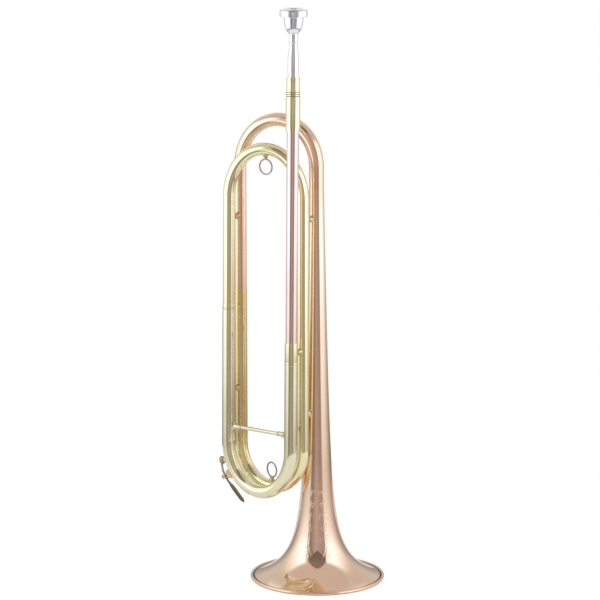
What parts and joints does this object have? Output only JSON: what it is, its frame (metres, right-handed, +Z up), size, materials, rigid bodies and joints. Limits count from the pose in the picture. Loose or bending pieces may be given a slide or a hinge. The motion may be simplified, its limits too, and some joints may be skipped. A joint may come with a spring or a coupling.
{
  "type": "cavalry trumpet",
  "caption": "Valveless long trumpet, its tubing folded in two narrow loops beside a tall flaring bell, with a pull slide, a sprung water key and lanyard rings.",
  "frame": {"origin": "On the floor under the middle of the whole, standing on the rim of its bell.", "axes": "+Z runs up the bell and the tubing to the mouthpiece. +X runs across the loops towards the bell. +Y runs from the mouthpiece's loop to the bell's."},
  "size_m": [0.1592, 0.135, 0.577],
  "materials": {
    "yellow_brass": "clear lacquer over polished yellow brass",
    "rose_brass": "clear lacquer over polished gold brass",
    "nickel_silver": "bare drawn nickel silver, greased",
    "silver_plate": "bright silver plate",
    "spring_steel": "bare spring wire",
    "cork": "cut cork"
  },
  "bodies": {
    "horn": {"receiver": "yellow_brass", "leadpipe_collar": "yellow_brass", "left_slide_collar": "yellow_brass", "left_front_leg": "yellow_brass", "right_rear_upper_leg": "yellow_brass", "right_rear_lower_leg": "yellow_brass", "left_rear_lower_leg": "yellow_brass", "top_front_bow": "yellow_brass", "bottom_rear_bow": "yellow_brass", "upper_left_stay": "yellow_brass", "upper_right_stay": "yellow_brass", "collar_stay": "yellow_brass", "lower_left_stay": "yellow_brass", "bell_stay": "yellow_brass", "top_lanyard_ring": "yellow_brass", "top_lanyard_foot": "yellow_brass", "bottom_lanyard_ring": "yellow_brass", "bottom_lanyard_foot": "yellow_brass", "leadpipe": "rose_brass", "left_rear_upper_leg": "rose_brass", "bell_tail_leg": "rose_brass", "top_rear_bow": "rose_brass", "bell_stem": "rose_brass", "bell": "rose_brass", "right_inner_slide_tube": "nickel_silver", "left_inner_slide_tube": "nickel_silver"},
    "mouthpiece_body": {"mouthpiece": "silver_plate"},
    "tuning_slide": {"right_slide_tube": "yellow_brass", "left_slide_tube": "yellow_brass", "slide_bow": "yellow_brass", "slide_brace_left_foot": "yellow_brass", "slide_brace_right_foot": "yellow_brass", "slide_brace_rod": "yellow_brass", "water_key_nipple": "yellow_brass", "water_key_saddle": "yellow_brass", "water_key_screw": "yellow_brass", "water_key_spring": "spring_steel"},
    "water_key": {"water_key_lever": "yellow_brass", "water_key_cork": "cork"}
  },
  "joints": [
    {"name": "mouthpiece_pull", "type": "slide", "parent": "horn", "child": "mouthpiece_body", "axis": [0.009, 0, 1], "range_m": [0, 0.03]},
    {"name": "tuning_slide_pull", "type": "slide", "parent": "horn", "child": "tuning_slide", "axis": [-0.009, 0, -1], "range_m": [0, 0.06]},
    {"name": "water_key_press", "type": "hinge", "parent": "tuning_slide", "child": "water_key", "pos_m": [-0.07108, -0.0402, 0.10085], "axis": [0, -1, 0], "range_deg": [0, 16], "stiffness_Nm_per_rad": 0.06, "springref_deg": -22.92, "deforming": ["water_key_spring"]}
  ]
}
